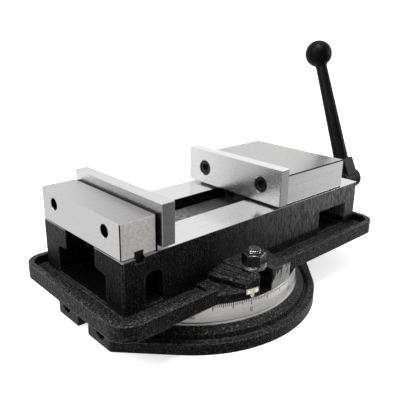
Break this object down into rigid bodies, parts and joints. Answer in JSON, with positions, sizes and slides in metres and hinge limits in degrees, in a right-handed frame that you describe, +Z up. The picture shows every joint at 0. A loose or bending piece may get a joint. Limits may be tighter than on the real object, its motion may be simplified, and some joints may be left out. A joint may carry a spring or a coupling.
{
  "type": "bench vise",
  "caption": "Machine vise with ground jaws on a screw, a drip tray round the bed and a graduated swivel base with slotted ears.",
  "frame": {"origin": "the swivel axis on the plane the base stands on", "axes": "+Z up along the swivel axis, +X along the screw towards the crank, +Y to the far side of the vise, at the zero of the swivel"},
  "size_m": [0.5381, 0.286, 0.273],
  "materials": {
    "black_casting": "black wrinkle paint",
    "grey_guard": "textured grey paint",
    "ground_steel": "surface ground",
    "brass_plate": "pale, satin",
    "bright_steel": "turned",
    "black_oxide": "black oxide",
    "bronze": "turned",
    "machined_iron": "milled"
  },
  "bodies": {
    "swivel_base": {"swivel_base": "black_casting"},
    "vise_body": {"bed": "black_casting", "pivot_pin": "bright_steel", "pointer_plate": "brass_plate", "pointer_rivets": "bright_steel", "t_bolts": "black_oxide", "clamp_washers": "bright_steel", "clamp_nuts": "black_oxide", "fixed_jaw": "ground_steel", "jaw_key": "black_oxide", "fixed_jaw_bolts": "black_oxide", "fixed_jaw_plate": "ground_steel", "fixed_jaw_screws": "black_oxide", "screw_bush": "bronze", "thrust_bearing": "bright_steel", "screw_support": "machined_iron", "screw_support_screws": "black_oxide"},
    "lead_screw": {"lead_screw": "bright_steel", "lock_collar": "black_oxide", "collar_screw": "black_oxide"},
    "crank": {"crank_handle": "black_casting"},
    "moving_jaw": {"moving_jaw": "ground_steel", "moving_jaw_plate": "ground_steel", "moving_jaw_screws": "black_oxide", "jaw_nut": "machined_iron", "lock_segment": "bright_steel", "jaw_set_screw": "black_oxide", "screw_guard": "grey_guard", "guard_screws": "black_oxide"}
  },
  "joints": [
    {"name": "swivel", "type": "hinge", "parent": "swivel_base", "child": "vise_body", "pos_m": [0, 0, 0.0406], "axis": [0, 0, 1], "continuous": true},
    {"name": "jaw_slide", "type": "slide", "parent": "vise_body", "child": "moving_jaw", "axis": [1, 0, 0], "range_m": [-0.151, 0.007]},
    {"name": "screw_turn", "type": "hinge", "parent": "vise_body", "child": "lead_screw", "pos_m": [0, 0, 0.07], "axis": [1, 0, 0], "range_deg": [-10872, 504]},
    {"name": "crank_pull_off", "type": "slide", "parent": "lead_screw", "child": "crank", "axis": [1, 0, 0], "range_m": [0, 0.045]}
  ],
  "couplings": [
    {"joint": "jaw_slide", "follows": "screw_turn", "m_per_rad": 0.00079577}
  ]
}
